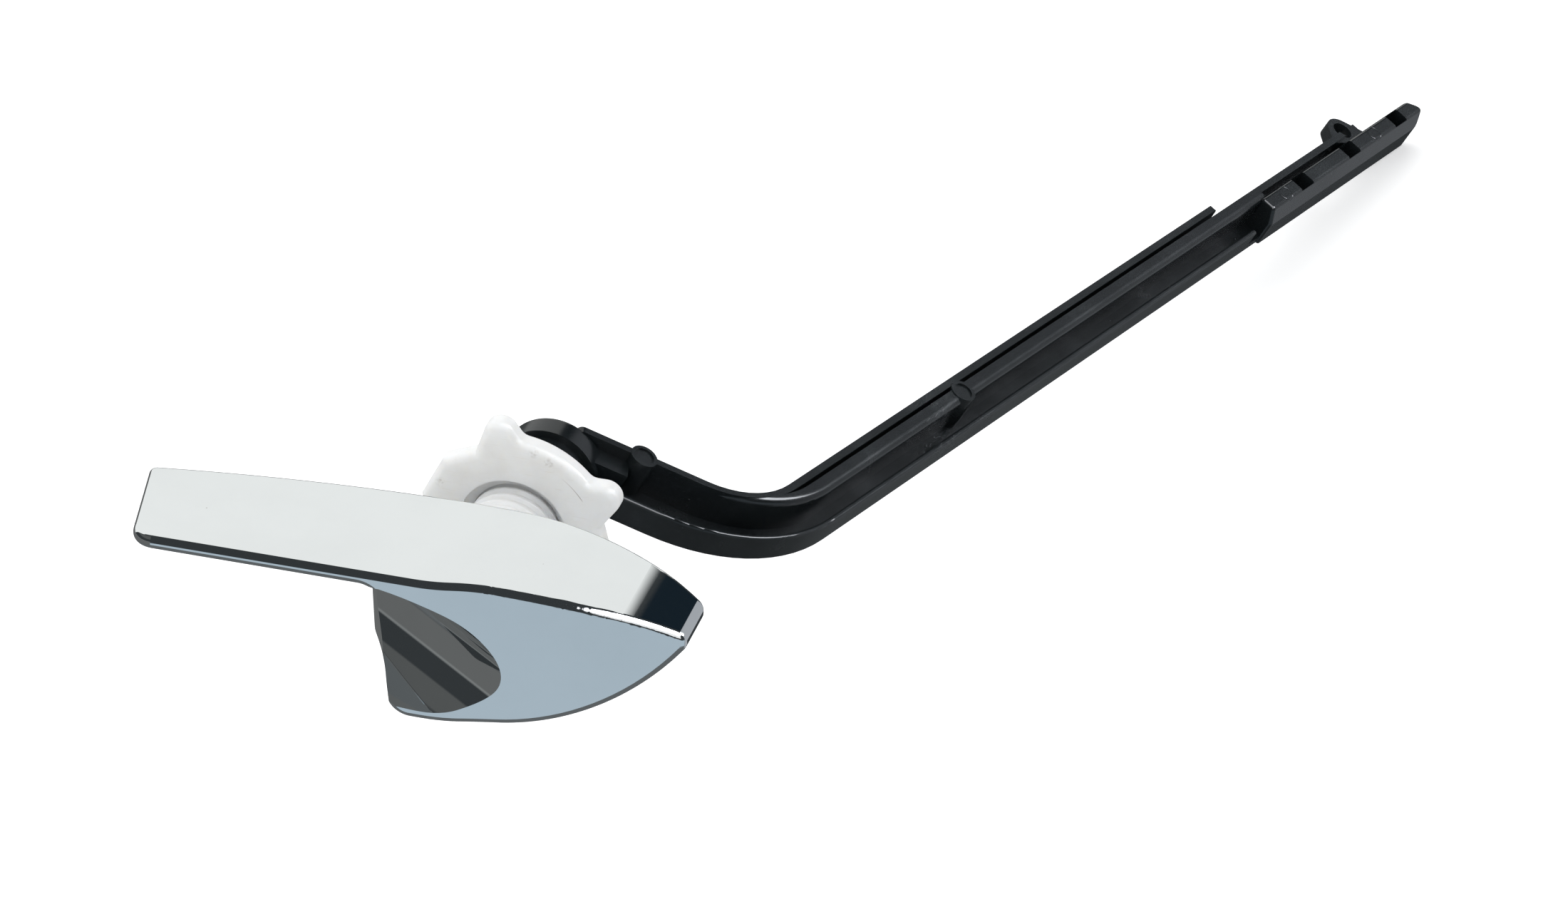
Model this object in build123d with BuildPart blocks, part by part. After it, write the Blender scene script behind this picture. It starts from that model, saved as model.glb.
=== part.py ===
from build123d import *
import os
from math import cos, radians, sin, tan

os.makedirs("parts", exist_ok=True)

# Cistern lever, in millimetres. The origin lies on the spindle axis, in the plane of the wall seat.
# X points to the nose of the handle, Y into the cistern and Z up.

# Fits
running_clearance = 0.05  # radial, where one round piece turns or screws in another
press_clearance = 0.02  # radial, where a piece is pressed or screwed tight
square_clearance = 0.1  # each side of the spindle's square
face_clearance = 0.3  # between end faces that pass each other
pocket_clearance = 0.5  # radial, round a flange or washer that sits in a pocket
edge_break = 0.5  # small chamfers and rounds
overrun = 1.5  # how far a shape runs past the face it cuts or joins
nearly = 0.01  # lengths closer than this count as equal

# Bush: flange against the wall, shank through it
shank_radius = 7.94
shank_lead = 0.8  # chamfer at the thread's end
flange_radius = 11.2
flange_thickness = 3.0
spindle_radius = 4.5
stop_radius = 8.4  # spindle axis to the stop peg
stop_peg_radius = 1.4
stop_peg_height = 2.2
lever_swing = 40.0  # degrees the handle turns from rest

# Nut: clamps the wall from inside
wall_gap = 12.0
nut_turn = 62.0  # degrees, where the nut happens to stand
nut_rim_radius = 17.3
nut_flat_distance = 16.4
nut_side_distance = 15.4
nut_side_angle = 40.0  # degrees from the flats to the sides next to them
nut_disc_thickness = 3.6
nut_boss_radius = 11.5
nut_height = 9.5
nut_travel = 4.2  # room behind the nut
nut_recess_radius = 9.6
nut_recess_depth = 1.6
lug_spread = 35.0  # degrees either side of the nut's long axis
lug_reach = 20.7
lug_tip_radius = 2.8
lug_root_radius = 5.6
lug_blend = 2.0
nut_front_round = 1.4
nut_back_round = 0.6

# Handle: paddle blade running into a scooped hub
blade_top = 13.7
blade_thickness = 2.5
blade_end = -57.5
blade_end_back = -6.0
blade_slant = 5.2  # how far the blade's end leans over its width
blade_corner = 4.5
blade_back_corner = 1.3
blade_front = -26.9
hub_front = -25.4  # the hub's face stands a little behind the blade's front edge
step_start = -3.0  # X where the front starts to step back
step_end = 9.5  # X where the front has stepped back
hub_back = -1.2
hub_bottom = -13.6
hub_left = -18.2
hub_corner = 4.0
nose_reach = 41.0
nose_back = -11.5
nose_front = -20.8
nose_top = 7.7
nose_bottom = 5.4
nose_round = 0.8 * (nose_top - nose_bottom)
facet_start = 31.0  # X where the top bends down to the nose
facet_top = 11.2
top_bend = 8.0  # X where the top starts to fall
bottom_bend = 2.0  # X where the bottom starts to rise
cheek_start = -8.8  # X where the hub's hollow cheek meets the front
cheek_depth = 19.0  # how far back the cheek runs
cheek_hollow = 0.7
cheek_round = 6.0
underside_fillet = 3.5
scoop_radius = 11.1
scoop_x = -12.2
scoop_y = -26.0
scoop_z = 0.5
scoop_turn = 27.3  # degrees the finger scoop runs forward of the X axis
scoop_tilt = 10.0  # degrees it runs down to the nose
rim_round = 1.2
socket_depth = 10.0

# Arm: a moulded crank on the spindle's square
arm_turn = 28.5  # degrees the arm hangs below level
arm_width = 9.1
arm_height = 9.0
first_angle = 14.0
second_angle = 73.1
first_length = 38.5
second_length = 270.0
bend_radius = 28.0
bend_spread = 2.3  # the bend is thinner than the legs
arm_hub_radius = 8.9
arm_boss_radius = 7.6
arm_boss_length = 4.1
square_side = 6.2
web_top = 1.8
far_wall = 1.4
near_wall = 1.1
near_wall_top = 5.3
wall_round = 0.4
near_wall_end = second_length - 81.0
far_wall_end = second_length - 90.5
rib_far = -2.4
rib_near = 0.5
rib_round = 1.2
ledge_top = 6.9
ledge_near = 0.75
ledge_length = 12.0
wall_start = 1.2
wall_end_round = 1.2
hub_back_round = 1.2
pad_radius = 2.5
pad_recess_radius = 1.85
pad_recess_depth = 0.35
pad_rise = 0.2
first_pad = 13.7
first_pad_offset = -3.6
second_pad = 70.0
second_pad_offset = -1.0
block_start = second_length - 75.5
block_near = 5.1
block_shoulder = 5.4
band_near = -0.9
groove_floor = 5.3  # between the end block's band and its spine
spine_far = 0.1
spine_near = 3.6
spine_round = 0.8
block_edge_round = 0.7
tip_slant = 4.5  # how far the tip leans back over its width
tip_round = 1.8
hook_hole_length = 5.6
hook_hole_width = 3.4
hook_hole_offset = 2.0
hook_holes = (second_length - 59.2, second_length - 36.0, second_length - 12.4)
eyelet = second_length - 31.1
eyelet_offset = -2.5
eyelet_radius = 3.6
eyelet_hole_radius = 2.2
eyelet_foot = 5.0  # half the length of the eyelet's foot
eyelet_foot_round = 0.8
eyelet_top = 8.4

# Arm screw and washer
washer_radius = 6.0
washer_thickness = 1.0
screw_radius = 2.0
screw_length = 12.0
screw_head_radius = 3.8
screw_head_height = 2.6
screw_head_round = 1.2
screw_slot_width = 1.0
screw_slot_depth = 1.2

# Places along the spindle axis that follow from the sizes above
arm_middle = wall_gap + nut_height + nut_travel + arm_width / 2
arm_front = arm_middle - arm_width / 2
arm_back = arm_middle + arm_width / 2
shank_end = arm_front - face_clearance
pocket_floor = -flange_thickness - face_clearance
socket_end = pocket_floor - socket_depth


def round_section(radius, start, end):
    """A disc about the spindle axis, ready to extrude from its far end towards the front."""
    with BuildSketch(Plane.XZ.offset(-end)) as section:
        Circle(radius)
    return section.sketch, end - start


def add_round(radius, start, end, mode=Mode.ADD):
    section, length = round_section(radius, start, end)
    extrude(section, amount=length, mode=mode)


def polar(radius, angle):
    return (radius * cos(radians(angle)), radius * sin(radians(angle)))


# Bush, white moulded plastic: flange, shank, spindle bore and the peg that stops the handle
stop_angle = 90 + lever_swing / 2
with BuildPart() as bush:
    add_round(flange_radius, -flange_thickness, 0)
    add_round(shank_radius, 0, shank_end)
    fillet(bush.edges().group_by(Axis.Y)[0], edge_break)
    chamfer(bush.edges().group_by(Axis.Y)[-1], shank_lead)
    with BuildSketch(Plane.XZ.offset(flange_thickness)):
        with Locations(polar(stop_radius, stop_angle)):
            Circle(stop_peg_radius)
    extrude(amount=stop_peg_height)
    add_round(spindle_radius + running_clearance, -flange_thickness, shank_end, Mode.SUBTRACT)
bush.part.label = "bush"
export_step(bush.part, "parts/bush.step")


# Nut, white moulded plastic: disc with two flats and four lugs, boss behind
def lug_outline():
    with BuildSketch() as outline:
        with Locations((nut_rim_radius - lug_root_radius, 0)):
            Circle(lug_root_radius)
        with Locations((lug_reach - lug_tip_radius, 0)):
            Circle(lug_tip_radius)
        make_hull()
    return outline.sketch


nut_back = wall_gap + nut_height
lug = lug_outline()
with BuildPart() as nut:
    with BuildSketch(Plane.XZ.offset(-wall_gap)) as nut_outline:
        Circle(nut_rim_radius)
        for turn, distance in (
            (0, nut_flat_distance),
            (-nut_side_angle, nut_side_distance),
            (nut_side_angle, nut_side_distance),
        ):
            Rectangle(4 * nut_rim_radius, 2 * distance, rotation=nut_turn + turn, mode=Mode.INTERSECT)
        for middle in (nut_turn, nut_turn + 180):
            for side in (-lug_spread, lug_spread):
                add(lug, rotation=middle + side)
        at_rim = [v for v in nut_outline.vertices() if abs(v.center().length - nut_rim_radius) < nearly]
        fillet(at_rim, lug_blend)
    extrude(amount=-nut_disc_thickness)
    fillet(nut.edges().group_by(Axis.Y)[0], nut_front_round)
    fillet(nut.edges().group_by(Axis.Y)[-1], nut_back_round)
    add_round(nut_boss_radius, wall_gap + nut_disc_thickness / 2, nut_back)
    chamfer(nut.edges().group_by(Axis.Y)[-1], edge_break)
    add_round(nut_recess_radius, wall_gap, wall_gap + nut_recess_depth, Mode.SUBTRACT)
    add_round(shank_radius + running_clearance, wall_gap, nut_back, Mode.SUBTRACT)
nut.part.label = "nut"
export_step(nut.part, "parts/nut.step")

# Spindle, brass: pressed into the handle, turns in the bush, square end for the arm
square_end = arm_back - face_clearance
with BuildPart() as spindle:
    add_round(spindle_radius, socket_end + face_clearance, arm_front)
    with BuildSketch(Plane.XZ.offset(-square_end)):
        Rectangle(square_side, square_side, rotation=-arm_turn)
    extrude(amount=square_end - arm_front)
    chamfer(spindle.edges().group_by(Axis.Y)[0], edge_break)
    screw_hole_end = arm_back + washer_thickness - screw_length - screw_radius
    add_round(screw_radius + press_clearance, screw_hole_end, square_end, Mode.SUBTRACT)
spindle.part.label = "spindle"
export_step(spindle.part, "parts/spindle.step")

# Arm washer and arm screw, steel: hold the arm on the square
head_start = arm_back + washer_thickness
head_end = head_start + screw_head_height
with BuildPart() as arm_washer:
    add_round(washer_radius, arm_back, head_start)
    add_round(screw_radius + face_clearance, arm_back, head_start, Mode.SUBTRACT)
arm_washer.part.label = "arm_washer"
export_step(arm_washer.part, "parts/arm_washer.step")

with BuildPart() as arm_screw:
    add_round(screw_head_radius, head_start, head_end)
    fillet(arm_screw.edges().group_by(Axis.Y)[-1], screw_head_round)
    add_round(screw_radius, head_start - screw_length, head_start)
    with BuildSketch(Plane.XZ.offset(-head_end)):
        Rectangle(3 * screw_head_radius, screw_slot_width)
    extrude(amount=screw_slot_depth, mode=Mode.SUBTRACT)
arm_screw.part.label = "arm_screw"
export_step(arm_screw.part, "parts/arm_screw.step")

# Handle, chrome-plated casting: the outline from above meets the outline from the front
blade_bottom = blade_top - blade_thickness
past_nose = nose_reach + overrun
past_blade = blade_end - overrun
step_middle = ((step_start + step_end) / 2, (blade_front + hub_front) / 2)
cheek_back = blade_front + cheek_depth
scoop_way = Vector(1, 0, 0).rotate(Axis.Y, scoop_tilt).rotate(Axis.Z, -scoop_turn)
swing_arc = CenterArc((0, 0), stop_radius, stop_angle - lever_swing, lever_swing)


def near_point(shapes, point):
    """The vertex, edge or face that lies nearest a point."""
    return shapes.sort_by_distance(point)[0]


def at_height(edges, height):
    """The edges that lie wholly at one height."""
    return [e for e in edges if max(abs(v.Z - height) for v in e.vertices()) < nearly]


with BuildPart() as scoop:
    with BuildSketch(Plane(origin=(scoop_x, scoop_y, scoop_z), z_dir=scoop_way)):
        Circle(scoop_radius)
    extrude(amount=nose_reach, both=True)
    split(bisect_by=Plane.XY.offset(blade_bottom), keep=Keep.BOTTOM)

with BuildPart() as handle:
    with BuildSketch(Plane.XY.offset(hub_bottom)) as seen_from_above:
        with BuildLine():
            TangentArc((0, hub_back), (blade_end, blade_end_back), tangent=(-1, 0))
            TangentArc((0, hub_back), (past_nose, nose_back), tangent=(1, 0))
            Line((past_nose, nose_back), (past_nose, nose_front))
            TangentArc((step_end, hub_front), (past_nose, nose_front), tangent=(1, 0))
            TangentArc((step_end, hub_front), step_middle, tangent=(-1, 0))
            TangentArc((step_start, blade_front), step_middle, tangent=(1, 0))
            Line((step_start, blade_front), (blade_end + blade_slant, blade_front))
            Line((blade_end + blade_slant, blade_front), (blade_end, blade_end_back))
        make_face()
        fillet(near_point(seen_from_above.vertices(), (blade_end, blade_end_back)), blade_back_corner)
        fillet(near_point(seen_from_above.vertices(), (blade_end, blade_front)), blade_corner)
    extrude(amount=blade_top - hub_bottom)
    with BuildSketch(Plane.XZ) as seen_from_front:
        with BuildLine():
            Line((past_blade, blade_top), (top_bend, blade_top))
            fall = TangentArc((top_bend, blade_top), (facet_start, facet_top), tangent=(1, 0))
            TangentArc((facet_start, facet_top), (nose_reach, nose_top), tangent=fall % 1)
            Line((nose_reach, nose_top), (nose_reach, nose_bottom))
            TangentArc((bottom_bend, hub_bottom), (nose_reach, nose_bottom), tangent=(1, 0))
            Polyline((bottom_bend, hub_bottom), (hub_left, hub_bottom), (hub_left, blade_bottom))
            Polyline((hub_left, blade_bottom), (past_blade, blade_bottom), (past_blade, blade_top))
        make_face()
        for end in (nose_top, nose_bottom):
            fillet(near_point(seen_from_front.vertices(), (nose_reach, end)), nose_round)
    extrude(amount=-2 * blade_front, both=True, mode=Mode.INTERSECT)
    # the hollow cheek under the blade, left of the scoop
    with BuildSketch(Plane.XY.offset(hub_bottom)):
        with BuildLine():
            SagittaArc((hub_left, cheek_back), (cheek_start, blade_front), cheek_hollow)
            Polyline(
                (hub_left, cheek_back),
                (past_blade, cheek_back),
                (past_blade, blade_front - overrun),
                (cheek_start, blade_front - overrun),
                (cheek_start, blade_front),
            )
        make_face()
    extrude(amount=blade_bottom - hub_bottom, mode=Mode.SUBTRACT)
    fillet(near_point(handle.edges(), (hub_left, cheek_back, 0)), cheek_round)
    under_blade = [
        e for e in at_height(handle.edges(), blade_bottom)
        if e.center().X > hub_left - nearly
        and blade_front + overrun < e.center().Y < hub_back - overrun
    ]
    fillet(under_blade, underside_fillet)
    under_hub = [
        e for e in at_height(handle.edges(), hub_bottom) if e.center().X < cheek_start - overrun
    ]
    fillet(under_hub, hub_corner)
    # both rims: the round follows each one's whole smooth chain of edges
    rims = [
        near_point(handle.edges(), (blade_end / 2, blade_front, height))
        for height in (blade_top, blade_bottom)
    ]
    fillet(rims, rim_round)
    add(scoop.part, mode=Mode.SUBTRACT)
    # behind: pocket for the flange, socket for the spindle, slot for the stop peg
    add_round(flange_radius + pocket_clearance, pocket_floor, 0, Mode.SUBTRACT)
    add_round(spindle_radius + press_clearance, socket_end, pocket_floor, Mode.SUBTRACT)
    with BuildSketch(Plane.XZ.offset(-pocket_floor)):
        SlotArc(swing_arc, 2 * (stop_peg_radius + face_clearance))
    extrude(amount=stop_peg_height, mode=Mode.SUBTRACT)
handle.part.label = "handle"
export_step(handle.part, "parts/handle.step")

# Arm, black moulded plastic: a web with walls either side, drawn in the plane the arm lies in
arm_right = (cos(radians(arm_turn)), 0, -sin(radians(arm_turn)))
arm_up = (sin(radians(arm_turn)), 0, cos(radians(arm_turn)))
arm_plane = Plane(origin=(0, arm_middle, 0), x_dir=arm_right, z_dir=arm_up)
bend_angle = second_angle - first_angle
first_way = Vector(*polar(1, first_angle))
first_side = Vector(*polar(1, first_angle - 90))
second_way = Vector(*polar(1, second_angle))
second_side = Vector(*polar(1, second_angle - 90))
corner = first_way * first_length
half_width = arm_width / 2


def on_first(along, offset):
    return first_way * along + first_side * offset


def on_second(along, offset):
    return corner + second_way * along + second_side * offset


def bend_points(first_offset, second_offset):
    """Start, middle and end of the bend of a line at these offsets from the middle of the arm."""
    radius = bend_radius + bend_spread * second_offset
    lead = (second_offset - first_offset * cos(radians(bend_angle))) / sin(radians(bend_angle))
    crossing = corner + first_way * lead + first_side * first_offset
    tangent = radius * tan(radians(bend_angle / 2))
    start = crossing - first_way * tangent
    middle = start - first_side * radius + (first_side + second_side).normalized() * radius
    return start, middle, crossing + second_way * tangent


def crank_bar(first_offsets, second_offsets, start, end, top):
    """A bar that runs along both legs of the arm and round its bend."""
    with BuildSketch(arm_plane) as outline:
        with BuildLine():
            ends = []
            for first_offset, second_offset in zip(first_offsets, second_offsets):
                bend = bend_points(first_offset, second_offset)
                leg = Line(on_first(start, first_offset), bend[0])
                ThreePointArc(*bend)
                tail = Line(bend[2], on_second(end, second_offset))
                ends.append((leg @ 0, tail @ 1))
            Line(ends[0][0], ends[1][0])
            Line(ends[0][1], ends[1][1])
        make_face()
    extrude(outline.sketch, amount=top)


def top_edge(bar, offset, top):
    """The edge along a bar's top at this offset on the second leg."""
    middle = on_second(block_start / 2, offset) + Vector(0, 0, top)
    return near_point(bar.edges(), arm_plane.from_local_coords(middle))


def leg_block(place, start, end, far, near, bottom, top, mode=Mode.ADD):
    """A straight block on one leg of the arm."""
    with BuildSketch(arm_plane.offset(bottom)) as outline:
        with BuildLine():
            Polyline(
                place(start, far),
                place(end, far),
                place(end, near),
                place(start, near),
                close=True,
            )
        make_face()
    extrude(outline.sketch, amount=top - bottom, mode=mode)


def post(centre, radius, bottom, top, mode=Mode.ADD):
    with BuildSketch(arm_plane.offset(bottom)) as outline:
        with Locations(centre):
            Circle(radius)
    extrude(outline.sketch, amount=top - bottom, mode=mode)


def tip_outline():
    """The slanted, rounded end of the arm, seen from above."""
    with BuildSketch() as outline:
        with BuildLine():
            Polyline(
                on_second(block_start, spine_far),
                on_second(second_length - tip_slant, spine_far),
                on_second(second_length, block_near),
                on_second(block_start, block_near),
                close=True,
            )
        make_face()
        for side in (spine_far, block_near):
            fillet(near_point(outline.vertices(), on_second(second_length, side)), tip_round)
    return outline.sketch


square_hole = square_side + 2 * square_clearance
pad_top = arm_height + pad_rise
far_inside = far_wall - half_width
near_inside = half_width - near_wall
spine_middle = (spine_far + spine_near) / 2
pads = (on_first(first_pad, first_pad_offset), on_second(second_pad, second_pad_offset))
block_plane = Plane(
    origin=arm_plane.from_local_coords(on_second(block_start, 0)),
    x_dir=arm_plane.from_local_coords(second_side) - arm_plane.origin,
    z_dir=arm_plane.origin - arm_plane.from_local_coords(second_way),
)
far = (-half_width, far_inside)
near = (near_inside, half_width)
with BuildPart() as near_bar:
    crank_bar(near, near, 0, near_wall_end, near_wall_top)
    fillet([top_edge(near_bar, offset, near_wall_top) for offset in near], wall_round)
with BuildPart() as rib_bar:
    crank_bar(far, (rib_far, rib_near), first_length / 2, block_start + overrun, arm_height)
    fillet(top_edge(rib_bar, rib_near, arm_height), rib_round)
with BuildPart() as end_block:
    with BuildSketch(block_plane) as block_section:
        with BuildLine():
            Polyline(
                (rib_far, 0),
                (block_near, 0),
                (block_near, block_shoulder),
                (spine_near, arm_height),
                (spine_far, arm_height),
                (spine_far, groove_floor),
                (band_near, groove_floor),
                (band_near, arm_height),
                (rib_far, arm_height),
                close=True,
            )
        make_face()
        upper = [v for v in block_section.vertices() if v.Y > groove_floor + nearly]
        fillet([v for v in upper if v.X > band_near + nearly], spine_round)
    extrude(amount=block_start - second_length)
    block_edge = on_second(block_start, spine_middle) + Vector(0, 0, arm_height)
    fillet(near_point(end_block.edges(), arm_plane.from_local_coords(block_edge)), block_edge_round)

with BuildPart() as arm:
    crank_bar(far, far, wall_start, far_wall_end, arm_height)
    for wall_end in (on_first(wall_start, far_inside), on_second(far_wall_end, far_inside)):
        wall_corner = arm_plane.from_local_coords(wall_end + Vector(0, 0, arm_height))
        at_corner = [e for e in arm.edges() if e.distance_to(wall_corner) < nearly]
        fillet([e for e in at_corner if abs(e.length - far_wall) < nearly], wall_end_round)
    # hub round the spindle
    with BuildSketch() as hub_section:
        with BuildLine():
            Polyline(
                (0, arm_front),
                (arm_boss_radius, arm_front),
                (arm_boss_radius, arm_front + arm_boss_length),
                (arm_hub_radius, arm_front + arm_boss_length),
                (arm_hub_radius, arm_back),
                (0, arm_back),
                close=True,
            )
        make_face()
        fillet(near_point(hub_section.vertices(), (arm_hub_radius, arm_back)), hub_back_round)
    revolve(axis=Axis.Y)
    both = (-half_width, half_width)
    crank_bar(both, both, 0, block_start + overrun, web_top)
    add(near_bar.part)
    add(rib_bar.part)
    leg_block(on_first, 0, ledge_length, far_inside, ledge_near, 0, ledge_top)
    # washer seat and square hole in the hub
    add_round(washer_radius + pocket_clearance, arm_back, arm_back + washer_radius, Mode.SUBTRACT)
    with BuildSketch(Plane.XZ.offset(-arm_back)):
        Rectangle(square_hole, square_hole, rotation=-arm_turn)
    extrude(amount=arm_width, mode=Mode.SUBTRACT)
    # ejector pads
    for pad in pads:
        post(pad, pad_radius, 0, pad_top)
        post(pad, pad_recess_radius, pad_top - pad_recess_depth, pad_top, Mode.SUBTRACT)
    # end block with its spine and band
    add(end_block.part)
    band_start = eyelet - eyelet_foot
    band_end = eyelet + eyelet_foot
    leg_block(on_second, band_end, second_length, rib_far, spine_far, 0, arm_height, Mode.SUBTRACT)
    leg_block(on_second, eyelet, band_end, rib_far, spine_far, eyelet_top, arm_height, Mode.SUBTRACT)
    with BuildSketch(arm_plane):
        with BuildLine():
            tip_start = second_length - 2 * tip_slant
            Polyline(
                on_second(tip_start, spine_far),
                on_second(second_length, spine_far),
                on_second(second_length, block_near),
                on_second(tip_start, block_near),
                close=True,
            )
        make_face()
        add(tip_outline(), mode=Mode.SUBTRACT)
    extrude(amount=arm_height, mode=Mode.SUBTRACT)
    # eyelet on the far side
    foot_start = on_second(band_start, rib_far + eyelet_foot_round)
    foot_end = on_second(band_end, spine_far + eyelet_foot_round)
    leg_block(on_second, band_start, second_length, rib_far, spine_far, 0, groove_floor, Mode.SUBTRACT)
    with BuildSketch(arm_plane.offset(groove_floor)):
        with Locations(on_second(eyelet, eyelet_offset)):
            Circle(eyelet_radius)
        with Locations(foot_start, foot_end):
            Circle(eyelet_foot_round)
        make_hull()
    extrude(amount=eyelet_top - groove_floor)
    post(on_second(eyelet, eyelet_offset), eyelet_hole_radius, 0, pad_top, Mode.SUBTRACT)
    for hole in hook_holes:
        leg_block(
            on_second,
            hole - hook_hole_length / 2,
            hole + hook_hole_length / 2,
            hook_hole_offset - hook_hole_width / 2,
            hook_hole_offset + hook_hole_width / 2,
            0,
            pad_top,
            Mode.SUBTRACT,
        )
arm.part.label = "arm"
export_step(arm.part, "parts/arm.step")
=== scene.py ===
from math import cos, pi, radians, sin

import bmesh
import bpy
from mathutils import Matrix, Vector


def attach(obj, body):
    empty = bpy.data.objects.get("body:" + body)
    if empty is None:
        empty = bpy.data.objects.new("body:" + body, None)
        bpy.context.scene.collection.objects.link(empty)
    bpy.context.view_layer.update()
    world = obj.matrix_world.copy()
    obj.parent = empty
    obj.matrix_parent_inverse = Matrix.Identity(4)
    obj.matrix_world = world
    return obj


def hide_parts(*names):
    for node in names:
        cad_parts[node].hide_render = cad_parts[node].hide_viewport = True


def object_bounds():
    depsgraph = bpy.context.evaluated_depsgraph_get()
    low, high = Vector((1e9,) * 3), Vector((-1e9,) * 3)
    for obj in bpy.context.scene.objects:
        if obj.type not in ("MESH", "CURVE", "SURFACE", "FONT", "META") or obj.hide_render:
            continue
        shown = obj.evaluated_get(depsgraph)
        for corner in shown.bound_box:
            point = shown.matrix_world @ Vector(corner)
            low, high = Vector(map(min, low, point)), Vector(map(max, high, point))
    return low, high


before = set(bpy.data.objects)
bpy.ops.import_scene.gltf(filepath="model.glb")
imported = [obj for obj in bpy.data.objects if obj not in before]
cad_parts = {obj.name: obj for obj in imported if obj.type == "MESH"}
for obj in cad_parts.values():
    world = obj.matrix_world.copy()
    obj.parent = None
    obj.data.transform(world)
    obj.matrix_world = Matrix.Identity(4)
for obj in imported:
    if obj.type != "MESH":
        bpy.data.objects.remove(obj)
cad_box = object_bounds()

# Handle: the paddle that is pressed down, one zinc die casting with a scooped finger recess.
# Polished and chrome plated, so it shows faint smears from hands, hairlines from wiping and the
# slight ripple that the polishing wheel leaves under the plate.
MM = 0.001
clean_plate = (0.87, 0.885, 0.89)
smeared_plate = (0.84, 0.855, 0.86)
plate_dust = (0.62, 0.62, 0.6)
plate_roughness = (0.03, 0.05)
plate_hairline_roughness = 0.02
plate_ripple = {"strength": 0.1, "distance": 0.03 * MM}


def place_node(tree, kind, inputs, **options):
    """Adds a node. An input that is given a socket is joined to it, any other value is set."""
    node = tree.nodes.new(kind)
    for name, value in options.items():
        setattr(node, name, value)
    for name, value in inputs.items():
        if isinstance(value, bpy.types.NodeSocket):
            tree.links.new(value, node.inputs[name])
        else:
            node.inputs[name].default_value = value
    return node


def new_finish(name, **settings):
    """A material with one Principled shader, whose plain settings are given by socket name."""
    finish = bpy.data.materials.new(name)
    finish.use_nodes = True
    shader = finish.node_tree.nodes["Principled BSDF"]
    for socket, value in settings.items():
        shader.inputs[socket.replace("_", " ").title()].default_value = value
    return finish, finish.node_tree, shader


def place_of(tree):
    """A piece's own coordinates."""
    return tree.nodes.new("ShaderNodeTexCoord").outputs["Object"]


def noise(tree, place, scale, detail, **more):
    """A noise texture's value."""
    inputs = {"Vector": place, "Scale": scale, "Detail": detail, **more}
    return place_node(tree, "ShaderNodeTexNoise", inputs).outputs[0]


def ranged(tree, value, low, high, bottom=0, top=1):
    """The value's range from low to high, carried over to bottom and top."""
    node = place_node(
        tree,
        "ShaderNodeMapRange",
        {"Value": value, "From Min": low, "From Max": high, "To Min": bottom, "To Max": top},
    )
    return node.outputs["Result"]


def reckoned(tree, operation, *values):
    """A Math node's result."""
    inputs = dict(enumerate(values))
    return place_node(tree, "ShaderNodeMath", inputs, operation=operation).outputs[0]


def product(tree, result, *others):
    """Masks or values multiplied with each other."""
    for other in others:
        result = reckoned(tree, "MULTIPLY", result, other)
    return result


def blended(tree, share, first, second):
    """Two colours mixed by a mask."""
    node = place_node(tree, "ShaderNodeMix", {"Factor": share}, data_type="RGBA")
    for socket, colour in ((node.inputs[6], first), (node.inputs[7], second)):
        if isinstance(colour, bpy.types.NodeSocket):
            tree.links.new(colour, socket)
        else:
            socket.default_value = (*colour, 1)
    return node.outputs[2]


def raised(tree, shader, height, strength, distance):
    """Bump on a shader's normal."""
    inputs = {"Height": height, "Strength": strength, "Distance": distance}
    bump = place_node(tree, "ShaderNodeBump", inputs)
    tree.links.new(bump.outputs["Normal"], shader.inputs["Normal"])


def make_handling_marks():
    """Shared effect: soft smears from hands, hairline scratches, dust specks and a fine grain."""
    smear_range = (0.42, 0.7)
    hairline_range = (0.67, 0.78)
    hairline_turns = ((0.3, 0.2, 0.5), (1.1, 0.7, 2.0))
    hairline_stretch = (1, 26, 26)
    speck_thinning = (0.72, 0.78)
    speck_edge = (0.05, 0.025)

    group = bpy.data.node_groups.new("handling_marks", "ShaderNodeTree")
    for name in ("Smear Scale", "Hairline Scale", "Speck Scale", "Grain Scale"):
        group.interface.new_socket(name, in_out="INPUT", socket_type="NodeSocketFloat")
    for name in ("Smear", "Hairline", "Speck", "Grain"):
        group.interface.new_socket(name, in_out="OUTPUT", socket_type="NodeSocketFloat")
    given = group.nodes.new("NodeGroupInput").outputs
    result = group.nodes.new("NodeGroupOutput").inputs
    place = place_of(group)

    smear = noise(group, place, given["Smear Scale"], 5, Roughness=0.6)
    group.links.new(ranged(group, smear, *smear_range), result["Smear"])

    hairlines = []
    for turn in hairline_turns:
        stretch = place_node(
            group,
            "ShaderNodeMapping",
            {"Vector": place, "Rotation": turn, "Scale": hairline_stretch},
        )
        streak = noise(group, stretch.outputs[0], given["Hairline Scale"], 2)
        hairlines.append(ranged(group, streak, *hairline_range))
    group.links.new(reckoned(group, "MAXIMUM", *hairlines), result["Hairline"])

    dust = place_node(
        group, "ShaderNodeTexVoronoi", {"Vector": place, "Scale": given["Speck Scale"]}
    )
    dot = ranged(group, dust.outputs["Distance"], *speck_edge)
    thinned = ranged(group, dust.outputs["Color"], *speck_thinning)
    group.links.new(product(group, dot, thinned), result["Speck"])

    group.links.new(noise(group, place, given["Grain Scale"], 3), result["Grain"])
    return group


handling_marks = make_handling_marks()


def marks(tree, **scales):
    """The handling marks, each at a material's own scale per metre."""
    node = tree.nodes.new("ShaderNodeGroup")
    node.node_tree = handling_marks
    for name, scale in scales.items():
        node.inputs[name.title() + " Scale"].default_value = scale
    return node.outputs


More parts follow.
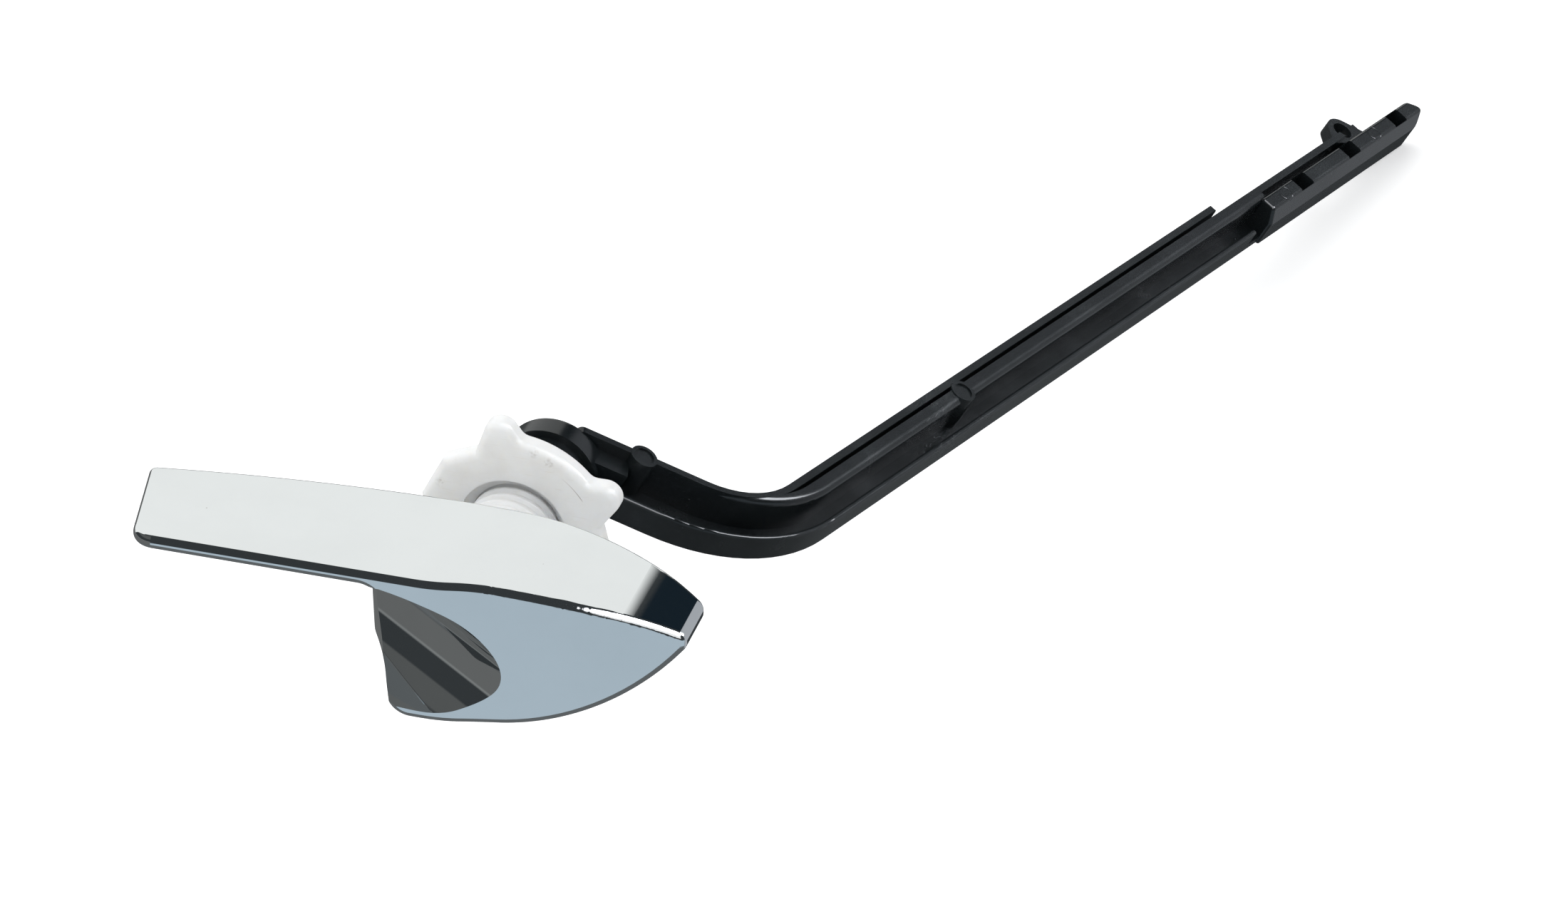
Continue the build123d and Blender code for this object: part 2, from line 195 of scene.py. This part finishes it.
chrome, tree, shader = new_finish("chrome_plate", metallic=1.0)
wear = marks(tree, smear=45, hairline=120, speck=260, grain=60)
plate = blended(tree, wear["Smear"], clean_plate, smeared_plate)
dusty_plate = blended(tree, wear["Speck"], plate, plate_dust)
tree.links.new(dusty_plate, shader.inputs["Base Color"])
haze = ranged(tree, wear["Smear"], 0, 1, *plate_roughness)
wiped = reckoned(tree, "MULTIPLY_ADD", wear["Hairline"], plate_hairline_roughness, haze)
tree.links.new(wiped, shader.inputs["Roughness"])
raised(tree, shader, wear["Grain"], **plate_ripple)
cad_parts["handle"].material_slots[0].material = chrome

# Bush: the white moulded sleeve that passes through the cistern wall. Its flange seats on the
# wall, its coarse thread takes the back nut, the spindle turns in its bore and a peg stops the
# handle. It is moulded in acetal, a hard, slightly translucent plastic.
thread_crest = 7.94 * MM
thread_root = 7.4 * MM
thread_pitch = 2.0 * MM
thread_profile = (  # radius, and how far along the pitch
    (thread_root, 0.0),
    (thread_root, 0.15),
    (thread_crest, 0.4),
    (thread_crest, 0.6),
    (thread_root, 0.85),
    (thread_root, 1.0),
)
thread_run_in = 2 * thread_pitch  # cut off again at both ends
shank_end = 25.4 * MM
shank_lead = 0.8 * MM
thread_end = shank_end - shank_lead / 4
bush_bore = 4.55 * MM
flange_radius = 11.2 * MM
flange_thickness = 3.0 * MM
flange_edge = 0.5 * MM
stop_radius = 8.4 * MM
stop_angle = radians(110)
stop_peg_radius = 1.4 * MM
stop_peg_height = 2.2 * MM
round_sides = 64
same_place = 0.001 * MM
cut_tolerance = 0.0001 * MM
sharp_edge = radians(32)
spindle_axis = Vector((0, 1, 0))

white_acetal = (0.83, 0.835, 0.83)
yellowed_acetal = (0.77, 0.765, 0.75)
rubbed_acetal = (0.74, 0.72, 0.68)
acetal_dirt = (0.5, 0.46, 0.4)
acetal_roughness = (0.34, 0.48)
acetal_grain = {"strength": 0.15, "distance": 0.03 * MM}


def ring_of(bm, loop, radius, height):
    """Extrudes a loop of edges about the spindle axis to another radius and height."""
    made = bmesh.ops.extrude_edge_only(bm, edges=loop)["geom"]
    for vert in (v for v in made if isinstance(v, bmesh.types.BMVert)):
        outward = Vector((vert.co.x, 0, vert.co.z)).normalized()
        vert.co = outward * radius + spindle_axis * height
    return [e for e in made if isinstance(e, bmesh.types.BMEdge) and e.is_boundary]


def open_loop(bm, height):
    """The open edge loop that lies at one height."""
    return [
        e
        for e in bm.edges
        if e.is_boundary and all(abs(v.co.y - height) < same_place for v in e.verts)
    ]


def shown(name, bm, body, finish):
    """Makes a mesh object of a bmesh, rides it on its body and gives it its finish."""
    bmesh.ops.recalc_face_normals(bm, faces=bm.faces)
    mesh = bpy.data.meshes.new(name)
    bm.to_mesh(mesh)
    bm.free()
    mesh.shade_smooth()
    mesh.set_sharp_from_angle(angle=sharp_edge)
    piece = bpy.data.objects.new(name, mesh)
    bpy.context.scene.collection.objects.link(piece)
    mesh.materials.append(finish)
    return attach(piece, body)


def mould_acetal(name):
    """White acetal: milky, a little yellowed in patches, with a fine mould grain."""
    finish, tree, shader = new_finish(
        name,
        subsurface_weight=0.7,
        subsurface_radius=(1.0, 0.93, 0.82),
        subsurface_scale=4 * MM,
    )
    wear = marks(tree, smear=120, hairline=200, speck=420, grain=2600)
    milky = blended(tree, wear["Smear"], white_acetal, yellowed_acetal)
    rubbed = blended(tree, wear["Hairline"], milky, rubbed_acetal)
    colour = blended(tree, wear["Speck"], rubbed, acetal_dirt)
    tree.links.new(colour, shader.inputs["Base Color"])
    roughness = ranged(tree, wear["Smear"], 0, 1, *acetal_roughness)
    tree.links.new(roughness, shader.inputs["Roughness"])
    raised(tree, shader, wear["Grain"], **acetal_grain)
    return finish, tree, shader, colour


bush_acetal = mould_acetal("bush_acetal")[0]

# The thread is spun as a helix, cut to the shank's length and chamfered at its end.
bm = bmesh.new()
rib = [
    bm.verts.new((radius, share * thread_pitch - thread_run_in, 0))
    for radius, share in thread_profile
]
edges = [bm.edges.new(pair) for pair in zip(rib, rib[1:])]
turns = int((shank_end + 2 * thread_run_in) / thread_pitch)
bmesh.ops.spin(
    bm,
    geom=rib + edges,
    cent=(0, 0, 0),
    axis=spindle_axis,
    dvec=spindle_axis * (thread_pitch / round_sides),
    angle=2 * pi * turns,
    steps=round_sides * turns,
)
bmesh.ops.remove_doubles(bm, verts=bm.verts, dist=same_place)
for height, direction in ((0.0, -1), (thread_end, 1)):
    bmesh.ops.bisect_plane(
        bm,
        geom=bm.verts[:] + bm.edges[:] + bm.faces[:],
        plane_co=spindle_axis * height,
        plane_no=spindle_axis * direction,
        clear_outer=True,
        dist=cut_tolerance,
    )
for vert in bm.verts:
    lead = thread_crest - max(0.0, vert.co.y - (shank_end - shank_lead))
    across = Vector((vert.co.x, 0, vert.co.z))
    if across.length > lead:
        vert.co -= across * (1 - lead / across.length)

# The flange, its rounded front edge and the bore follow ring by ring, back to the thread's end.
front_edge = [
    (
        flange_radius - flange_edge * (1 - cos(radians(turn))),
        flange_edge * (1 - sin(radians(turn))) - flange_thickness,
    )
    for turn in (0, 30, 60, 90)
]
loop = open_loop(bm, 0.0)
for radius, height in (
    (flange_radius, 0.0),
    *front_edge,
    (bush_bore, -flange_thickness),
    (bush_bore, shank_end),
):
    loop = ring_of(bm, loop, radius, height)
bmesh.ops.bridge_loops(bm, edges=loop + open_loop(bm, thread_end))

# The stop peg is rooted in the flange.
peg_length = stop_peg_height + flange_edge
peg_middle = (
    stop_radius * cos(stop_angle),
    peg_length / 2 - flange_thickness - stop_peg_height,
    stop_radius * sin(stop_angle),
)
bmesh.ops.create_cone(
    bm,
    cap_ends=True,
    segments=round_sides,
    radius1=stop_peg_radius,
    radius2=stop_peg_radius,
    depth=peg_length,
    matrix=Matrix.Translation(peg_middle) @ Matrix.Rotation(radians(90), 4, "X"),
)
bush = shown("bush_sleeve", bm, "bush", bush_acetal)
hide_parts("bush")

# Nut: the back nut that clamps the wall from inside, with two flats and four finger lugs.
# Moulded in the same acetal as the bush and screwed on its thread by hand. Its face against
# the wall is scratched along its turn and thumbed at the rim.
nut_face = 12.0 * MM
scratch_radius = 14.8 * MM
scratch_half_width = 0.05 * MM
scratch_blur = 0.06 * MM
scratch_from, scratch_to = radians(33), radians(54)
scratch_fade = 0.03
scratch_depth = (0.3 * MM, 0.6 * MM)
scratch_brown = (0.16, 0.1, 0.06)
thumb_marks = ((4.1, 12.0, 15.9), (6.8, 12.0, 14.4), (-12.8, 12.0, 7.2))
thumb_size = 1.1 * MM
thumb_grime = (0.4, 0.37, 0.33)
grime_scale = 1400
grime_range = (0.45, 0.7)
grime_share = 0.6


def from_point(tree, place, point):
    """How far a place is from a point that is given in millimetres."""
    node = place_node(tree, "ShaderNodeVectorMath", {0: place}, operation="DISTANCE")
    node.inputs[1].default_value = [c * MM for c in point]
    return node.outputs["Value"]


def within(tree, value, start, end, soft):
    """A mask that is one from start to end, with soft edges."""
    risen = ranged(tree, value, start - soft, start + soft)
    not_fallen = ranged(tree, value, end - soft, end + soft, 1, 0)
    return product(tree, risen, not_fallen)


nut_acetal, tree, shader, colour = mould_acetal("nut_acetal")
place = place_of(tree)
across, along, up = place_node(tree, "ShaderNodeSeparateXYZ", {0: place}).outputs
squares = reckoned(tree, "MULTIPLY_ADD", across, across, product(tree, up, up))
from_axis = reckoned(tree, "SQRT", squares)
turn = reckoned(tree, "ARCTAN2", up, across)
scratch = product(
    tree,
    within(
        tree,
        from_axis,
        scratch_radius - scratch_half_width,
        scratch_radius + scratch_half_width,
        scratch_blur,
    ),
    ranged(tree, turn, scratch_to, scratch_from),
    within(tree, turn, scratch_from, scratch_to, scratch_fade),
    ranged(tree, along, *(nut_face + depth for depth in scratch_depth), 1, 0),
)
colour = blended(tree, scratch, colour, scratch_brown)
blotch = ranged(tree, noise(tree, place, grime_scale, 3), *grime_range, 0, grime_share)
for thumb_mark in thumb_marks:
    patch = ranged(tree, from_point(tree, place, thumb_mark), thumb_size, 0.3 * thumb_size)
    colour = blended(tree, product(tree, patch, blotch), colour, thumb_grime)
tree.links.new(colour, shader.inputs["Base Color"])
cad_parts["nut"].material_slots[0].material = nut_acetal

# Spindle: a turned brass rod, pressed into the handle's socket. It turns in the bush and
# carries the arm on its square end.
clean_brass = (0.72, 0.53, 0.25)
tarnished_brass = (0.58, 0.41, 0.18)
brass_specks = (0.3, 0.2, 0.1)
brass_roughness = (0.22, 0.4)
brass_hairlines = {"strength": 0.2, "distance": 0.03 * MM}

brass, tree, shader = new_finish("turned_brass", metallic=1.0)
wear = marks(tree, smear=200, hairline=300, speck=500, grain=900)
tarnish = blended(tree, wear["Smear"], clean_brass, tarnished_brass)
specked_brass = blended(tree, wear["Speck"], tarnish, brass_specks)
tree.links.new(specked_brass, shader.inputs["Base Color"])
dulled = ranged(tree, wear["Smear"], 0, 1, *brass_roughness)
tree.links.new(dulled, shader.inputs["Roughness"])
raised(tree, shader, wear["Hairline"], **brass_hairlines)
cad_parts["spindle"].material_slots[0].material = brass

# Arm: the cranked lifting arm, one black injection moulding with a web, thin walls and a rib.
# Ejector pins have left round marks on its spine, and its satin skin is scuffed and dusty
# from handling.
ejector_marks = ((90.46, 232.45, -38.88), (101.61, 274.22, -44.93))
ejector_radius = 1.85 * MM
ejector_line = 0.12 * MM
scuff_place = (51.2, 97.1, -21.8)
scuff_reach = 9 * MM
scuff_stretch = (1, 0.3, 1)
scuff_scale = 900
scuff_range = (0.5, 0.66)
scuff_height = 0.6
grain_height = 0.12
hairline_share = 0.5
speck_share = 0.45
deep_black = (0.0065, 0.0085, 0.0095)
smeared_black = (0.010, 0.0125, 0.0135)
scuffed_black = (0.028, 0.032, 0.034)
pale_dust = (0.3, 0.31, 0.31)
black_roughness = (0.2, 0.29)
black_relief = {"strength": 0.5, "distance": 0.1 * MM}

black, tree, shader = new_finish("black_moulding")
wear = marks(tree, smear=70, hairline=170, speck=330, grain=1800)
place = place_of(tree)
drag = place_node(tree, "ShaderNodeMapping", {"Vector": place, "Scale": scuff_stretch})
flow = noise(tree, drag.outputs[0], scuff_scale, 4, Distortion=1.5)
scuff = product(
    tree,
    ranged(tree, from_point(tree, place, scuff_place), scuff_reach, 0.4 * scuff_reach),
    ranged(tree, flow, *scuff_range),
)
rubbed = reckoned(tree, "MAXIMUM", scuff, product(tree, wear["Hairline"], hairline_share))
dark = blended(tree, wear["Smear"], deep_black, smeared_black)
dark = blended(tree, rubbed, dark, scuffed_black)
dark = blended(tree, product(tree, wear["Speck"], speck_share), dark, pale_dust)
tree.links.new(dark, shader.inputs["Base Color"])
satin = ranged(tree, wear["Smear"], 0, 1, *black_roughness)
tree.links.new(satin, shader.inputs["Roughness"])
rings = [
    within(
        tree,
        from_point(tree, place, mark),
        ejector_radius - ejector_line,
        ejector_radius + ejector_line,
        ejector_line / 2,
    )
    for mark in ejector_marks
]
dents = reckoned(tree, "MAXIMUM", *rings)
skin = product(tree, wear["Grain"], grain_height)
scuffed_skin = reckoned(tree, "MULTIPLY_ADD", scuff, scuff_height, skin)
raised(tree, shader, reckoned(tree, "SUBTRACT", scuffed_skin, dents), **black_relief)
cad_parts["arm"].material_slots[0].material = black

# Arm washer and arm screw: zinc-plated steel, turned and stamped. They hold the arm on the
# spindle's square from behind.
bright_zinc = (0.62, 0.63, 0.66)
dull_zinc = (0.5, 0.5, 0.5)
zinc_specks = (0.35, 0.33, 0.3)
zinc_roughness = (0.25, 0.42)
zinc_grain = {"strength": 0.15, "distance": 0.02 * MM}

zinc, tree, shader = new_finish("zinc_plate", metallic=1.0)
wear = marks(tree, smear=250, hairline=400, speck=600, grain=1500)
plated = blended(tree, wear["Smear"], bright_zinc, dull_zinc)
specked_zinc = blended(tree, wear["Speck"], plated, zinc_specks)
tree.links.new(specked_zinc, shader.inputs["Base Color"])
clouded = ranged(tree, wear["Smear"], 0, 1, *zinc_roughness)
tree.links.new(clouded, shader.inputs["Roughness"])
raised(tree, shader, wear["Grain"], **zinc_grain)
for piece in ("arm_washer", "arm_screw"):
    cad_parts[piece].material_slots[0].material = zinc

# Floor: a plain pale sheet just under the lowest point. The camera sees it lifted to white, and
# it keeps the shadow of the arm.
floor_height = cad_box[0].z - 0.2 * MM
floor_half_side = 6
floor_lift = 0.34

bm = bmesh.new()
bmesh.ops.create_grid(bm, x_segments=1, y_segments=1, size=floor_half_side)
bmesh.ops.translate(bm, verts=bm.verts, vec=(0, 0, floor_height))
floor_mesh = bpy.data.meshes.new("floor")
bm.to_mesh(floor_mesh)
bm.free()
floor = bpy.data.objects.new("floor", floor_mesh)
bpy.context.scene.collection.objects.link(floor)
paper, tree, shader = new_finish(
    "pale_floor", base_color=(0.9, 0.9, 0.9, 1), roughness=0.9, emission_color=(1, 1, 1, 1)
)
shader.inputs["Specular IOR Level"].default_value = 0
seen = tree.nodes.new("ShaderNodeLightPath")
lift = product(tree, seen.outputs["Is Camera Ray"], floor_lift)
tree.links.new(lift, shader.inputs["Emission Strength"])
floor_mesh.materials.append(paper)
floor.visible_glossy = False

# Studio: white behind the object, an even light on matt surfaces and two soft lamps. What shines
# mirrors a dim room with pale and dark panels instead. A panel is given by its colour, by its
# spans to the east, north and up of the way that a mirrored ray takes, and by its soft edge.
even_light = (0.84, 0.85, 0.86)
white = (1, 1, 1)
dim_room = (0.035, 0.04, 0.043)
everywhere = (-2, 2)
panels = {
    "dim_ground": ((0.12, 0.13, 0.135), everywhere, everywhere, (-2, -0.63), 0.03),
    "left_wall": ((0.13, 0.135, 0.135), (-2, -0.42), everywhere, (-0.63, 0.03), 0.02),
    "left_ledge": ((0.2, 0.21, 0.21), (-2, -0.42), (-2, 0.1), (0, 0.06), 0.02),
    "left_ceiling": ((0.09, 0.095, 0.095), (-2, -0.42), (-2, 0.1), (0.57, 2), 0.02),
    "blue_table": ((0.42, 0.51, 0.58), (-0.42, 2), (-2, 0.05), (-0.63, -0.2), 0.04),
    "grey_screen": ((0.4, 0.42, 0.45), (0.3, 2), (0.1, 2), (-0.8, 0.6), 0.05),
    "white_screen": ((0.89, 0.91, 0.9), (-2, 0.03), (0.2, 2), (0.06, 0.8), 0.012),
    "black_gap": ((0.008, 0.015, 0.022), (0.07, 0.26), (0.5, 2), (0.3, 0.75), 0.012),
    "bright_lamp": ((16.0, 16.5, 17.5), (0.5, 0.9), (0.15, 0.58), (0.36, 0.72), 0.05),
    "front_screen": ((0.93, 0.94, 0.95), (0.13, 0.8), (-0.97, 0.3), (0.12, 0.6), 0.03),
    "front_lamp": ((6.0, 6.1, 6.4), (0.13, 0.8), (-0.97, 0.3), (0.6, 2), 0.03),
}
lamp_target = Vector((0.02, 0.1, -0.01))

world = bpy.data.worlds.new("studio")
bpy.context.scene.world = world
world.use_nodes = True
tree = world.node_tree
way = tree.nodes.new("ShaderNodeTexCoord").outputs["Generated"]
east, north, up = place_node(tree, "ShaderNodeSeparateXYZ", {0: way}).outputs
room = dim_room
for colour, span_east, span_north, span_up, soft in panels.values():
    panel = product(
        tree,
        within(tree, east, *span_east, soft),
        within(tree, north, *span_north, soft),
        within(tree, up, *span_up, soft),
    )
    room = blended(tree, panel, room, colour)
seen = tree.nodes.new("ShaderNodeLightPath")
lit = blended(tree, seen.outputs["Is Glossy Ray"], even_light, room)
backdrop = blended(tree, seen.outputs["Is Camera Ray"], lit, white)
tree.links.new(backdrop, tree.nodes["Background"].inputs["Color"])

for name, spot, size, watts in (
    ("overhead_box", (-0.25, 0.35, 1.1), 0.9, 3.0),
    ("left_box", (-0.9, -0.2, 0.8), 0.7, 3.0),
):
    lamp = bpy.data.lights.new(name, "AREA")
    lamp.energy = watts
    lamp.size = size
    holder = bpy.data.objects.new(name, lamp)
    holder.location = spot
    aim = lamp_target - holder.location
    holder.rotation_mode = "QUATERNION"
    holder.rotation_quaternion = aim.to_track_quat("-Z", "Y")
    holder.visible_glossy = False
    bpy.context.scene.collection.objects.link(holder)

# Camera: at the photograph's place and angle, in front of the handle, above it and to its right,
# with a long lens.
camera_place = (0.23422, -0.62089, 0.44129)
azimuth = radians(16.42)
elevation = radians(32.27)
focal_length = 109.41
sensor_width = 36
nearest_seen = 10 * MM

back = Vector((sin(azimuth) * cos(elevation), -cos(azimuth) * cos(elevation), sin(elevation)))
lens = bpy.data.cameras.new("photo_camera")
lens.sensor_width = sensor_width
lens.lens = focal_length
lens.clip_start = nearest_seen
camera = bpy.data.objects.new("photo_camera", lens)
camera.location = camera_place
camera.rotation_mode = "QUATERNION"
camera.rotation_quaternion = (-back).to_track_quat("-Z", "Y")
bpy.context.scene.collection.objects.link(camera)
bpy.context.scene.camera = camera
bpy.context.scene.view_settings.view_transform = "Standard"
